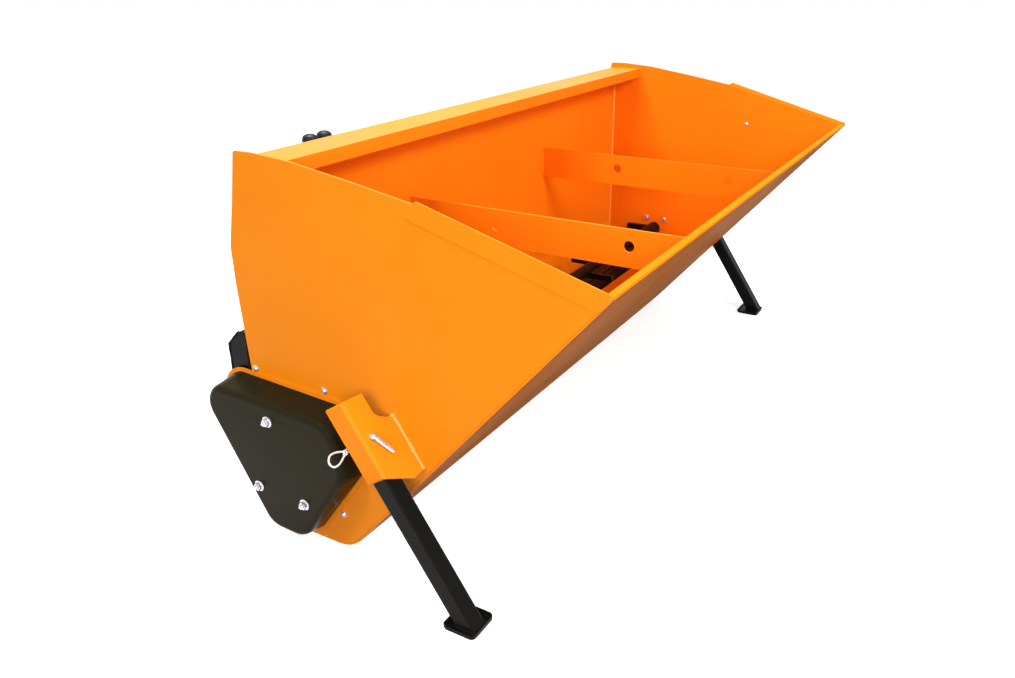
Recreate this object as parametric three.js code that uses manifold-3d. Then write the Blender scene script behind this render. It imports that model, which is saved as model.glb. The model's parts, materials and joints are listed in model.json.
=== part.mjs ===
import * as THREE from 'three';
import { mergeVertices } from 'three/addons/utils/BufferGeometryUtils.js';
import Module from 'manifold-3d';

const wasm = await Module();
wasm.setup();

// Driving sizes in millimetres. X runs along the hopper, -Y is the loading lip's side and Z = 0 is the floor.
// A reach is measured forward from the rear top corner of the end plates unless its name says rear.
const overallLength = 1600;
const plateHeight = 784;
const lipReach = 737;
const lipHeight = 640;
const toeReach = 205;
const toeHeight = 18;
const plate = 4;
const sheet = 3;
const gap = 0.3;
const runningGap = 0.1;
const wallReach = 12;
const wallBendHeight = 265;
const wallFootReach = 44;
const wallFootHeight = 146;
const railSetdown = 14;
const railReach = 98;
const railDrop = 27;
const lipWidth = 15;
const braceSpacing = 317;
const braceThickness = 5;
const braceTop = 595;
const braceDepth = 80;
const braceHoleDepth = 36;
const braceHoleRadius = 12;
const agitatorReach = 179;
const agitatorHeight = 260;
const agitatorTubeRadius = 21;
const tineLength = 90;
const tineWidth = 16;
const tinePitch = 104;
const rollerReach = 95;
const rollerHeight = 82;
const rollerRadius = 76;
const fluteDepth = 4;
const fluteCount = 24;
const motorRearReach = 52;
const motorHeight = 287;
const shaftRadius = 10;
const lobeRadius = 52;
const caseDepth = 66;
const caseWall = 3;
const caseFillet = 12;
const rimMargin = 8;
const studRadius = 4;
const chainPitch = 9.525;
const motorTeeth = 12;
const agitatorTeeth = 18;
const rollerTeeth = 15;
const legLean = THREE.MathUtils.degToRad(34);
const legTube = 35;
const tubeWall = 3;
const legTop = 40;
const bracketReach = 320;
const bracketHeight = 344;
const bracketWidth = 92;
const bracketSheet = 4;
const flangeDepth = 45;
const pinRadius = 5;
const footLength = 70;
const footMargin = 8;
const footDepth = 68;
const footLead = 1;
const footThickness = 8;
const beamHeight = 90;
const beamTop = 421;
const beamDepth = 50;
const beamRear = 93;
const beamChamfer = 31;
const topLinkRearReach = 150;
const topLinkHeight = 662;
const topLinkRadius = 9.5;
const lowerLinkRearReach = 140;
const lowerLinkHeight = 202;
const lowerLinkRadius = 11;
const lowerLinkSpacing = 342;
const couplerSpacing = 42;
const couplerLength = 540;
const couplerRearReach = 43;
const capProud = 1;
const couplerRise = 111;
const hoseRadius = 7;

// Sizes that follow from the ones above.
const half = overallLength / 2;
const inside = half - plate - gap;
const railHeight = plateHeight - railSetdown;
const capTop = railHeight + capProud;
const holderHeight = capTop - couplerRise;
const roundSides = 24;
const smallSides = 12;
const weldTolerance = 1e-4;
const frontRun = lipReach - toeReach;
const frontRise = lipHeight - toeHeight;
const frontLength = Math.hypot(frontRun, frontRise);
const frontUp = [-frontRun / frontLength, frontRise / frontLength];
const frontIn = [frontRise / frontLength, frontRun / frontLength];
const linkEarRadius = topLinkRadius + beamHeight / 8;
const rearReach = topLinkRearReach + linkEarRadius;

// Turns a geometry into a checked closed solid whose faces look outwards.
const solid = (geometry) => {
  const bare = new THREE.BufferGeometry();
  bare.setAttribute('position', geometry.getAttribute('position').clone());
  if (geometry.index) {
    bare.setIndex(geometry.index);
  }
  const welded = mergeVertices(bare, weldTolerance);
  const spots = welded.getAttribute('position');
  const faces = [];
  let volume = 0;
  const [a, b, c] = [new THREE.Vector3(), new THREE.Vector3(), new THREE.Vector3()];
  for (let i = 0; i < welded.index.count; i += 3) {
    const [p, q, r] = [0, 1, 2].map((k) => welded.index.getX(i + k));
    if (p !== q && q !== r && r !== p) {
      faces.push([p, q, r]);
      a.fromBufferAttribute(spots, p);
      b.fromBufferAttribute(spots, q);
      c.fromBufferAttribute(spots, r);
      volume += a.dot(b.cross(c));
    }
  }
  const order = volume < 0 ? ([p, q, r]) => [p, r, q] : (face) => face;
  return new wasm.Manifold(new wasm.Mesh({
    numProp: 3,
    vertProperties: Float32Array.from(spots.array),
    triVerts: Uint32Array.from(faces.flatMap(order)),
  }));
};

const placing = {
  x: (a, b, d) => [d, a, b],
  y: (a, b, d) => [a, d, b],
  z: (a, b, d) => [a, b, d],
};

// An outline drawn across one axis and pulled along it.
const prism = (outline, from, to, along, holes = []) => {
  const flat = (points) => points.map(([a, b]) => new THREE.Vector2(a, b));
  const shape = new THREE.Shape(flat(outline));
  shape.holes = holes.map((hole) => new THREE.Path(flat(hole)));
  const geometry = new THREE.ExtrudeGeometry(shape, { depth: to - from, bevelEnabled: false });
  const spots = geometry.getAttribute('position');
  for (let i = 0; i < spots.count; i += 1) {
    spots.setXYZ(i, ...placing[along](spots.getX(i), spots.getY(i), spots.getZ(i) + from));
  }
  return solid(geometry);
};

// A profile of [along, radius] pairs turned about an axis.
const turned = (profile, a, b, along, sides = roundSides) => {
  const geometry = new THREE.LatheGeometry(profile.map(([d, r]) => new THREE.Vector2(r, d)), sides);
  const spots = geometry.getAttribute('position');
  for (let i = 0; i < spots.count; i += 1) {
    spots.setXYZ(i, ...placing[along](spots.getX(i) + a, spots.getZ(i) + b, spots.getY(i)));
  }
  return solid(geometry);
};

const circle = (a, b, radius, sides = roundSides, turn = 0) => Array.from({ length: sides }, (_, i) => {
  const angle = (2 * Math.PI * i) / sides + turn;
  return [a + radius * Math.cos(angle), b + radius * Math.sin(angle)];
});

const rod = (a, b, radius, from, to, along, sides = roundSides) => {
  return prism(circle(a, b, radius, sides), from, to, along);
};

const box = (x0, x1, y0, y1, z0, z1) => prism([[x0, y0], [x1, y0], [x1, y1], [x0, y1]], z0, z1, 'z');

const unit = ([y0, z0], [y1, z1]) => {
  const length = Math.hypot(y1 - y0, z1 - z0);
  return [(y1 - y0) / length, (z1 - z0) / length];
};

// Rounds the corners of an outline, each corner given with its own radius.
const rounded = (corners, steps = 6) => corners.flatMap(([y, z, radius], i) => {
  if (!radius) {
    return [[y, z]];
  }
  const back = unit([y, z], corners[(i + corners.length - 1) % corners.length]);
  const ahead = unit([y, z], corners[(i + 1) % corners.length]);
  const opening = Math.acos(back[0] * ahead[0] + back[1] * ahead[1]) / 2;
  const middle = unit([0, 0], [back[0] + ahead[0], back[1] + ahead[1]]);
  const centre = [y + (middle[0] * radius) / Math.sin(opening), z + (middle[1] * radius) / Math.sin(opening)];
  const reach = radius / Math.tan(opening);
  const angle = ([dy, dz]) => Math.atan2(z + dz * reach - centre[1], y + dy * reach - centre[0]);
  const start = angle(back);
  const turn = THREE.MathUtils.euclideanModulo(angle(ahead) - start + Math.PI, 2 * Math.PI) - Math.PI;
  return Array.from({ length: steps + 1 }, (_, k) => {
    const at = start + (turn * k) / steps;
    return [centre[0] + radius * Math.cos(at), centre[1] + radius * Math.sin(at)];
  });
});

// A bent sheet: the path of one face and, on its left, the other face a thickness away.
const folded = (path, thickness) => {
  const other = path.map((point, i) => {
    const into = i > 0 ? unit(path[i - 1], point) : unit(point, path[i + 1]);
    const out = i < path.length - 1 ? unit(point, path[i + 1]) : into;
    const normal = unit([0, 0], [-(into[1] + out[1]), into[0] + out[0]]);
    const stretch = thickness / (into[0] * normal[1] - into[1] * normal[0]);
    return [point[0] + normal[0] * stretch, point[1] + normal[1] * stretch];
  });
  return [...path, ...other.reverse()];
};

const meet = (p, u, q, v) => {
  const along = ((q[0] - p[0]) * v[1] - (q[1] - p[1]) * v[0]) / (u[0] * v[1] - u[1] * v[0]);
  return [p[0] + u[0] * along, p[1] + u[1] * along];
};

// A smooth loop around a set of circles, sampled by the direction it faces.
const loopAround = (circles, inset = 0, sides = 54) => Array.from({ length: sides }, (_, i) => {
  const angle = (2 * Math.PI * i) / sides;
  const [dy, dz] = [Math.cos(angle), Math.sin(angle)];
  const reach = ([y, z, r]) => y * dy + z * dz + r;
  const [y, z, r] = circles.reduce((best, next) => (reach(next) > reach(best) ? next : best));
  return [y + (r - inset) * dy, z + (r - inset) * dz];
});

// A solid through a stack of convex rings, closed at both ends.
const loft = (rings) => {
  const sides = rings[0].length;
  const spots = rings.flat(2);
  const faces = [];
  for (let k = 0; k < rings.length - 1; k += 1) {
    for (let i = 0; i < sides; i += 1) {
      const next = (i + 1) % sides;
      const [p, q] = [k * sides + i, k * sides + next];
      faces.push(p, q, q + sides, p, q + sides, p + sides);
    }
  }
  const last = (rings.length - 1) * sides;
  for (let i = 1; i < sides - 1; i += 1) {
    faces.push(0, i + 1, i, last, last + i, last + i + 1);
  }
  const geometry = new THREE.BufferGeometry();
  geometry.setAttribute('position', new THREE.Float32BufferAttribute(spots, 3));
  geometry.setIndex(faces);
  return solid(geometry);
};

// A round rod swept along a path of points.
const sweep = (points, radius, sides = smallSides) => {
  const path = points.map((point) => new THREE.Vector3(...point));
  const tangents = path.map((point, i) => {
    const before = path[Math.max(i - 1, 0)];
    const after = path[Math.min(i + 1, path.length - 1)];
    return after.clone().sub(before).normalize();
  });
  const side = new THREE.Vector3(tangents[0].z, tangents[0].x, tangents[0].y);
  return loft(path.map((point, i) => {
    side.addScaledVector(tangents[i], -side.dot(tangents[i])).normalize();
    const up = tangents[i].clone().cross(side);
    return circle(0, 0, radius, sides).map(([a, b]) => {
      return point.clone().addScaledVector(side, a).addScaledVector(up, b).toArray();
    });
  }));
};

// A path of points with its inner corners rounded off.
const bent = (points, radius, steps = 5) => points.flatMap((point, i) => {
  if (i === 0 || i === points.length - 1) {
    return [point];
  }
  const corner = new THREE.Vector3(...point);
  const ends = [points[i - 1], points[i + 1]].map((other) => {
    return new THREE.Vector3(...other).sub(corner).setLength(radius).add(corner);
  });
  const arc = new THREE.QuadraticBezierCurve3(ends[0], corner, ends[1]);
  return arc.getPoints(steps).map((at) => at.toArray());
});

const smooth = (points, steps) => {
  const curve = new THREE.CatmullRomCurve3(points.map((point) => new THREE.Vector3(...point)));
  return curve.getPoints(steps).map((at) => at.toArray());
};

// A path of points with its inner corners on true arcs, as a hose bends.
const arced = (points, radius, steps = 7) => points.flatMap((point, i) => {
  if (i === 0 || i === points.length - 1) {
    return [point];
  }
  const corner = new THREE.Vector3(...point);
  const [back, ahead] = [points[i - 1], points[i + 1]].map((other) => {
    return new THREE.Vector3(...other).sub(corner).normalize();
  });
  const half = back.angleTo(ahead) / 2;
  const centre = back.clone().add(ahead).setLength(radius / Math.sin(half)).add(corner);
  const spoke = back.clone().multiplyScalar(radius / Math.tan(half)).add(corner).sub(centre);
  const axis = ahead.clone().cross(back).normalize();
  return Array.from({ length: steps + 1 }, (_, k) => {
    const turn = (k / steps) * (Math.PI - 2 * half);
    return spoke.clone().applyAxisAngle(axis, turn).add(centre).toArray();
  });
});

const finishes = {
  orange: { color: 0xf08a1e, metalness: 0, roughness: 0.35 },
  black: { color: 0x191917, metalness: 0, roughness: 0.4 },
  zinc: { color: 0xc9ccd0, metalness: 0.9, roughness: 0.35 },
  steel: { color: 0x6f7276, metalness: 0.8, roughness: 0.5 },
  iron: { color: 0x33363a, metalness: 0.3, roughness: 0.6 },
  rubber: { color: 0x1b1b1b, metalness: 0, roughness: 0.8 },
};

const topdresser = new THREE.Group();
topdresser.name = 'lawn_topdresser';
topdresser.position.y = (lipReach - rearReach) / 2;

const add = (name, body, finish) => {
  const mesh = body.getMesh();
  const geometry = new THREE.BufferGeometry();
  geometry.setAttribute('position', new THREE.Float32BufferAttribute(mesh.vertProperties, 3));
  geometry.setIndex(Array.from(mesh.triVerts));
  const piece = new THREE.Mesh(geometry, new THREE.MeshStandardMaterial(finishes[finish]));
  piece.name = name;
  topdresser.add(piece);
};

const ends = [['near', -1], ['far', 1]];
const handed = (body, side) => (side < 0 ? body : body.mirror([1, 0, 0]));

// Points measured up the sloping front from its toe, and inwards from its outer face.
const onFront = (up, into) => [
  -toeReach + up * frontUp[0] + into * frontIn[0],
  toeHeight + up * frontUp[1] + into * frontIn[1],
];
const frontLine = (height, into) => {
  return meet(onFront(0, into), frontUp, [0, height], [1, 0])[0];
};

// End plates: one outline for both, with an ear behind the rear edge that the beam and the motor hang on.
const topEdgeShares = [[0.0624, 1], [0.1791, 0.9917], [0.3609, 0.9656], [0.5292, 0.9388]];
const rearEdgeShares = [[0.0448, 0.4541], [0.057, 0.6696], [0.057, 0.7679], [0.0271, 0.8827]];
const plateCorner = 6;
const heelReach = 8;
const heelRadius = 30;
const toeRadius = 80;
const toeCorner = toeReach - (toeHeight * frontRun) / frontRise;
const plateOutline = rounded([
  [0, plateHeight, plateCorner],
  ...topEdgeShares.map(([y, z]) => [-y * lipReach, z * plateHeight, 0]),
  [-lipReach, lipHeight, plateCorner],
  [-toeCorner, 0, toeRadius],
  [-heelReach, 0, heelRadius],
  ...rearEdgeShares.map(([y, z]) => [y * lipReach, z * plateHeight, 0]),
]);
const shaftSpots = {
  motor: [motorRearReach, motorHeight],
  agitator: [-agitatorReach, agitatorHeight],
  roller: [-rollerReach, rollerHeight],
};
const shaftHole = shaftRadius + plate;
const pilotRadius = shaftRadius + 3 * plate;
const screwRadius = 3;
const screwShares = [
  ['agitator', 0.4, 1.73],
  ['motor', -0.62, 1.29],
  ['roller', -1.53, -0.08],
];
const aroundShafts = (shares) => shares.map(([shaft, y, z]) => [
  shaftSpots[shaft][0] + y * lobeRadius,
  shaftSpots[shaft][1] + z * lobeRadius,
]);
const screwSpots = aroundShafts(screwShares);
const earShare = 1.04;
const earRadius = lobeRadius * earShare;
const plateBlank = prism(plateOutline, -half, -half + plate, 'x')
  .add(rod(...shaftSpots.motor, earRadius, -half, -half + plate, 'x'))
  .subtract(rod(...shaftSpots.agitator, shaftHole, -half - plate, -inside, 'x'))
  .subtract(rod(...shaftSpots.roller, shaftHole, -half - plate, -inside, 'x'));
const nearPlate = screwSpots.reduce(
  (body, spot) => body.subtract(rod(...spot, screwRadius + gap, -half - plate, -inside, 'x', smallSides)),
  plateBlank.subtract(rod(...shaftSpots.motor, pilotRadius + gap, -half - plate, -inside, 'x')),
);
add('near_end_plate', nearPlate, 'orange');
add('far_end_plate', handed(plateBlank, 1), 'orange');

// Doublers: strips outside the sloping top edges, a little proud of them.
const doublerStart = 394;
const doublerProud = 8;
const doublerWidth = 35;
const doublerStep = 20;
const doublerSetback = 14;
const kneeSpot = [-topEdgeShares[3][0] * lipReach, topEdgeShares[3][1] * plateHeight];
const slopeDown = unit(kneeSpot, [-lipReach, lipHeight]);
const onSlope = (along, down) => [
  kneeSpot[0] + slopeDown[0] * along - slopeDown[1] * down,
  kneeSpot[1] + slopeDown[1] * along + slopeDown[0] * down,
];
const slopeLength = Math.hypot(kneeSpot[0] + lipReach, kneeSpot[1] - lipHeight);
const slopeStart = doublerStart - Math.abs(kneeSpot[0]);
const doublerFoot = [slopeLength - doublerSetback, doublerWidth - doublerProud];
const doublerOutline = rounded([
  [...onSlope(slopeStart, -doublerProud), doublerProud],
  [...onSlope(slopeLength - gap, -doublerProud), doublerProud / 2],
  [...onSlope(slopeLength - gap, 0), 0],
  [...onSlope(...doublerFoot), doublerProud],
  [...onSlope(slopeStart - doublerStep, doublerWidth - doublerProud), doublerProud / 2],
]);

// Lip and front plate, back wall and rail, all between the end plates.
const lipShoulder = 2;
const frontOutline = [
  onFront(0, 0),
  onFront(frontLength, 0),
  [-lipReach + lipShoulder, lipHeight + sheet],
  [-lipReach + lipWidth, lipHeight + sheet],
  [-lipReach + lipWidth, lipHeight],
  [frontLine(lipHeight, sheet), lipHeight],
  onFront(0, sheet),
];
add('front_plate', prism(frontOutline, -inside, inside, 'x'), 'orange');

const wallPath = [
  [-wallReach, railHeight - sheet - gap],
  [-wallReach, wallBendHeight],
  [-wallFootReach, wallFootHeight],
];
add('back_wall', prism(folded(wallPath, sheet), -inside, inside, 'x'), 'orange');

const railRear = -wallReach + 2 * sheet + gap;
const railPath = [
  [railRear, railHeight - railDrop],
  [railRear, railHeight],
  [-railReach, railHeight],
  [-railReach, railHeight - railDrop],
];
add('top_rail', prism(folded(railPath, sheet), -inside, inside, 'x'), 'orange');

// Braces: flat bars on edge from the back wall to the front plate.
const braceHoleReaches = [245, 556];
const braceHoleHeight = braceTop - braceHoleDepth;
const braceOutline = [
  [-wallReach - gap, braceTop - braceDepth],
  [-wallReach - gap, braceTop],
  [frontLine(braceTop, sheet + gap), braceTop],
  [frontLine(braceTop - braceDepth, sheet + gap), braceTop - braceDepth],
];
const braceHoles = braceHoleReaches.map((reach) => circle(-reach, braceHoleHeight, braceHoleRadius));
const brace = prism(
  braceOutline,
  -braceSpacing - braceThickness / 2,
  -braceSpacing + braceThickness / 2,
  'x',
  braceHoles,
);

// Trough floor in front of the roller, with the metering plate that slides on it.
const floorFrontHeight = 166;
const floorRearReach = 165;
const floorRearHeight = 144;
const floorFlange = 25;
const gateOverhang = 13;
const gateWidth = 63;
const gateUpstand = 8;
const floorRear = [-floorRearReach, floorRearHeight];
const floorFront = [frontLine(floorFrontHeight, 2 * sheet + gap), floorFrontHeight];
const floorAlong = unit(floorRear, floorFront);
const onFloor = (along, up) => [
  floorRear[0] + floorAlong[0] * along + floorAlong[1] * up,
  floorRear[1] + floorAlong[1] * along - floorAlong[0] * up,
];
const floorTopCorner = meet(floorRear, floorAlong, onFront(0, 2 * sheet + gap), frontUp);
const floorFlangeTop = [
  floorTopCorner[0] + frontUp[0] * floorFlange,
  floorTopCorner[1] + frontUp[1] * floorFlange,
];
const floorOutline = [
  floorRear,
  floorTopCorner,
  floorFlangeTop,
  [floorFlangeTop[0] - frontIn[0] * sheet, floorFlangeTop[1] - frontIn[1] * sheet],
  meet(onFloor(0, -sheet), floorAlong, onFront(0, sheet + gap), frontUp),
  onFloor(0, -sheet),
];
add('trough_floor', prism(floorOutline, -inside, inside, 'x'), 'orange');
const gatePath = [
  onFloor(-gateOverhang, gap),
  onFloor(gateWidth - gateOverhang, gap),
  onFloor(gateWidth - gateOverhang, gap + sheet + gateUpstand),
];
add('metering_plate', prism(folded(gatePath, -sheet), -inside, inside, 'x'), 'orange');

// Chain case, drawn as lobes around the three shafts: each is [shaft, offset, offset, radius] in lobe radii.
const coverLobeShares = [
  ['motor', 0, 0, 0.9],
  ['agitator', -0.02, 0.23, 1],
  ['agitator', -0.21, -0.67, 1],
  ['roller', -0.1, 0.15, 0.96],
  ['roller', 0.63, 0.12, 0.9],
];
const rimLobeShares = [
  ['motor', 0, 0, 1.17],
  ['agitator', -0.02, 0.23, 1.27],
  ['agitator', -0.21, -0.67, 1.27],
  ['roller', 0.19, -0.31, 1.08],
  ['roller', 0.63, -0.19, 1.08],
];
const lobes = (shares) => shares.map(([shaft, y, z, r]) => [
  shaftSpots[shaft][0] + y * lobeRadius,
  shaftSpots[shaft][1] + z * lobeRadius,
  r * lobeRadius,
]);
const coverLobes = lobes(coverLobeShares);
const rimLobes = lobes(rimLobeShares);
const caseOuter = -half - gap - caseWall;
const coverBase = caseOuter - gap;
const coverFace = -half - caseDepth;
const nutShares = [
  ['agitator', 2.17, 0.565],
  ['roller', 1.47, 0.944],
  ['roller', -0.837, 0.867],
];
const nutSpots = aroundShafts(nutShares);
const studReach = 11;
const caseHole = shaftRadius + plate;
const caseBlank = prism(loopAround(rimLobes), caseOuter, -half - gap, 'x', [
  circle(...shaftSpots.agitator, caseHole),
  circle(...shaftSpots.roller, caseHole),
  circle(...shaftSpots.motor, pilotRadius + gap),
]);
const caseBack = nutSpots.reduce(
  (body, spot) => body.add(rod(...spot, studRadius, coverFace - studReach, -half - 2 * gap, 'x', smallSides)),
  caseBlank,
);
add('chain_case_back', caseBack, 'orange');

const coverRing = (depth, share, inset) => {
  const circles = rimLobes.map((rim, i) => rim.map((value, k) => {
    const start = k === 2 ? value - rimMargin : value;
    return THREE.MathUtils.lerp(start, coverLobes[i][k], share);
  }));
  return loopAround(circles, inset).map(([y, z]) => [-depth, y, z]);
};
const filletSteps = 4;
const coverShell = (inset, openEnd) => {
  const radius = caseFillet - inset;
  const shoulder = -coverFace - caseFillet;
  const rings = [coverRing(-coverBase - openEnd, 0, inset), coverRing(shoulder, 1, inset)];
  for (let k = 1; k <= filletSteps; k += 1) {
    const angle = (Math.PI / 2) * (k / filletSteps);
    const sunk = inset + radius * (1 - Math.cos(angle));
    rings.push(coverRing(shoulder + radius * Math.sin(angle), 1, sunk));
  }
  return loft(rings);
};
const cover = nutSpots.reduce(
  (body, spot) => body.subtract(rod(...spot, studRadius + gap, coverFace - caseWall, coverBase, 'x', smallSides)),
  coverShell(0, 0).subtract(coverShell(caseWall, gap)),
);
add('chain_cover', cover, 'black');

const nutFlange = 12;
const nutFlangeHeight = 2;
const nutRadius = 7.5;
const nutHeight = 8;
const hexSides = 6;
nutSpots.forEach((spot, i) => {
  const seat = coverFace - gap;
  const bore = circle(...spot, studRadius + gap, smallSides);
  const flange = prism(circle(...spot, nutFlange, smallSides), seat - nutFlangeHeight, seat, 'x', [bore]);
  const hex = prism(circle(...spot, nutRadius, hexSides), seat - nutHeight, seat - nutFlangeHeight / 2, 'x', [bore]);
  add(`cover_nut_${i + 1}`, flange.add(hex), 'zinc');
});

const screwHead = 5.5;
const screwWasher = 6.8;
const washerHeight = 1.5;
const screwHeadHeight = 5;
screwSpots.forEach((spot, i) => {
  const seat = -half - gap;
  const profile = [
    [-inside, 0],
    [-inside, screwRadius],
    [seat, screwRadius],
    [seat, screwWasher],
    [seat - washerHeight, screwWasher],
    [seat - washerHeight, screwHead],
    [seat - screwHeadHeight / 2, screwHead],
    [seat - screwHeadHeight, screwHead / 2],
    [seat - screwHeadHeight, 0],
  ];
  add(`case_screw_${i + 1}`, turned(profile, ...spot, 'x', smallSides), 'zinc');
});

// Drive: a hydraulic motor behind the wall, and a chain from its sprocket round those of both shafts.
const sprocketWidth = 5;
const sprocketDepth = 26;
const sprocketPlane = coverFace + sprocketDepth;
const toothRise = 2.2;
const toothDip = 3;
const pitchRadius = (teeth) => chainPitch / (2 * Math.sin(Math.PI / teeth));
const tipRadius = (teeth) => pitchRadius(teeth) + toothRise;
const toothShares = [[-0.36, 0], [-0.16, 1], [0.16, 1], [0.36, 0]];
const toothed = (spot, teeth) => Array.from({ length: teeth }, (_, i) => toothShares.map(([turn, rise]) => {
  const angle = ((i + turn) * 2 * Math.PI) / teeth;
  const radius = pitchRadius(teeth) - toothDip + rise * (toothDip + toothRise);
  return [spot[0] + radius * Math.cos(angle), spot[1] + radius * Math.sin(angle)];
})).flat();
const hubRadius = shaftRadius + plate;
const hubLength = 4;
const bearingWidth = 26;
const sprocket = (spot, teeth, bore) => {
  const holes = bore ? [circle(...spot, bore)] : [];
  const wheel = prism(toothed(spot, teeth), sprocketPlane, sprocketPlane + sprocketWidth, 'x', holes);
  const hub = prism(circle(...spot, hubRadius), sprocketPlane - hubLength, sprocketPlane + sprocketWidth, 'x', holes);
  return wheel.add(hub);
};
const shaftEnd = sprocketPlane - 2 * hubLength;
const motorFlange = 12;
const motorFlangeSize = 40;
const motorInner = -inside + motorFlange;
const motorLength = 134;
const motorRadius = 36;
const pilotEnd = caseOuter;
const shaftSocket = 2 * motorFlange;
const motorShaft = rod(...shaftSpots.motor, shaftRadius, shaftEnd, motorInner + gap, 'x');
add('motor_sprocket', sprocket(shaftSpots.motor, motorTeeth, 0).add(motorShaft), 'steel');
add('agitator_sprocket', sprocket(shaftSpots.agitator, agitatorTeeth, shaftRadius + gap), 'steel');
add('roller_sprocket', sprocket(shaftSpots.roller, rollerTeeth, shaftRadius + gap), 'steel');

const portRadius = 11;
const portRear = motorRearReach + motorRadius + portRadius;
const portShares = [0.35, 0.68];
const portSpots = portShares.map((share) => motorInner + share * motorLength);
const squareCorners = (spot, size, cut) => rounded([
  [spot[0] - size, spot[1] - size, cut],
  [spot[0] + size, spot[1] - size, cut],
  [spot[0] + size, spot[1] + size, cut],
  [spot[0] - size, spot[1] + size, cut],
], 3);
const motorCanShares = [
  [-0.01, 0], [-0.01, 1], [0.5, 1], [0.52, 0.92], [0.6, 0.92], [0.62, 1], [0.96, 1], [1, 0.8], [1, 0],
];
const motorCan = turned(
  motorCanShares.map(([along, out]) => [motorInner + along * motorLength, out * motorRadius]),
  ...shaftSpots.motor,
  'x',
);
const motorBody = portSpots.reduce(
  (body, x) => body.add(rod(x, motorHeight, portRadius, motorRearReach, portRear, 'y', smallSides)),
  motorCan
    .add(prism(squareCorners(shaftSpots.motor, motorFlangeSize, motorFlange), -inside, motorInner, 'x'))
    .add(rod(...shaftSpots.motor, pilotRadius, pilotEnd, -inside + gap, 'x')),
);
const motorBore = rod(...shaftSpots.motor, shaftRadius + runningGap, pilotEnd - gap, pilotEnd + shaftSocket, 'x');
add('hydraulic_motor', motorBody.subtract(motorBore), 'iron');

// The chain runs just clear of the tooth tips, on the loop around all three sprockets.
const chainThickness = 5;
const chainWidth = 7;
const chainCircles = [
  [...shaftSpots.motor, tipRadius(motorTeeth) + gap],
  [...shaftSpots.agitator, tipRadius(agitatorTeeth) + gap],
  [...shaftSpots.roller, tipRadius(rollerTeeth) + gap],
];
const chainInner = loopAround(chainCircles, 0, 60);
const loopLength = chainInner.reduce((sum, [y, z], i) => {
  const [nextY, nextZ] = chainInner[(i + 1) % chainInner.length];
  return sum + Math.hypot(nextY - y, nextZ - z);
}, 0);
const linkCount = Math.round(loopLength / chainPitch);
const loopCurve = new THREE.CurvePath();
chainInner.forEach(([y, z], i) => {
  const [nextY, nextZ] = chainInner[(i + 1) % chainInner.length];
  loopCurve.add(new THREE.LineCurve3(new THREE.Vector3(0, y, z), new THREE.Vector3(0, nextY, nextZ)));
});
const linkRiseShares = [0.65, 1];
const chainOuter = Array.from({ length: linkCount * linkRiseShares.length }, (_, i) => {
  const share = i / (linkCount * linkRiseShares.length);
  const at = loopCurve.getPointAt(share);
  const run = loopCurve.getTangentAt(share);
  const rise = chainThickness * linkRiseShares[i % linkRiseShares.length];
  return [at.y + run.z * rise, at.z - run.y * rise];
});
const chainMiddle = sprocketPlane + sprocketWidth / 2;
const chain = prism(chainOuter, chainMiddle - chainWidth / 2, chainMiddle + chainWidth / 2, 'x', [chainInner]);
add('drive_chain', chain, 'steel');

// Flange bearings outside the plates carry the agitator and the roller.
const bearingFlange = 12;
const bearingBoss = 26;
const bearing = (spot, size, seat) => {
  const bore = [circle(...spot, shaftRadius + runningGap)];
  const flange = prism(squareCorners(spot, size, size / 3), seat - bearingFlange, seat, 'x', bore);
  const boss = prism(circle(...spot, bearingBoss), seat - bearingWidth, seat - bearingFlange / 2, 'x', bore);
  return flange.add(boss);
};
const bearingSizes = { agitator: 40, roller: 36 };
Object.entries(bearingSizes).forEach(([shaft, size]) => {
  add(`${shaft}_bearing_near`, bearing(shaftSpots[shaft], size, coverBase), 'iron');
  add(`${shaft}_bearing_far`, handed(bearing(shaftSpots[shaft], size, -half - gap), 1), 'iron');
});

// Agitator: a tube between the plates with tines to the rear and to the front by turns.
const tubeEnd = inside - 2 * plate;
const farShaftEnd = half + bearingWidth + plate;
const throughShaft = (spot) => rod(...spot, shaftRadius, shaftEnd, farShaftEnd, 'x');
const tineCount = 16;
const tineStart = ((tineCount - 1) / 2) * tinePitch;
const agitatorTube = throughShaft(shaftSpots.agitator)
  .add(rod(...shaftSpots.agitator, agitatorTubeRadius, -tubeEnd, tubeEnd, 'x'));
const agitator = Array.from({ length: tineCount }, (_, i) => tineStart - i * tinePitch).reduce(
  (body, x, i) => {
    const tip = -agitatorReach + (i % 2 ? -tineLength : tineLength);
    const [y0, y1] = [Math.min(tip, -agitatorReach), Math.max(tip, -agitatorReach)];
    const side = tineWidth / 2;
    return body.add(box(x - side, x + side, y0, y1, agitatorHeight - side, agitatorHeight + side));
  },
  agitatorTube,
);
add('agitator', agitator, 'black');

// Spreading roller: a fluted drum across the outlet.
const fluteShares = [[-0.3, 0], [-0.22, 1], [0.22, 1], [0.3, 0]];
const rollerOutline = Array.from({ length: fluteCount }, (_, i) => fluteShares.map(([turn, rise]) => {
  const angle = ((i + turn) * 2 * Math.PI) / fluteCount;
  const radius = rollerRadius - fluteDepth + rise * fluteDepth;
  return [-rollerReach + radius * Math.cos(angle), rollerHeight + radius * Math.sin(angle)];
})).flat();
const roller = throughShaft(shaftSpots.roller).add(prism(rollerOutline, -tubeEnd, tubeEnd, 'x'));
add('spreading_roller', roller, 'rubber');

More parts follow.
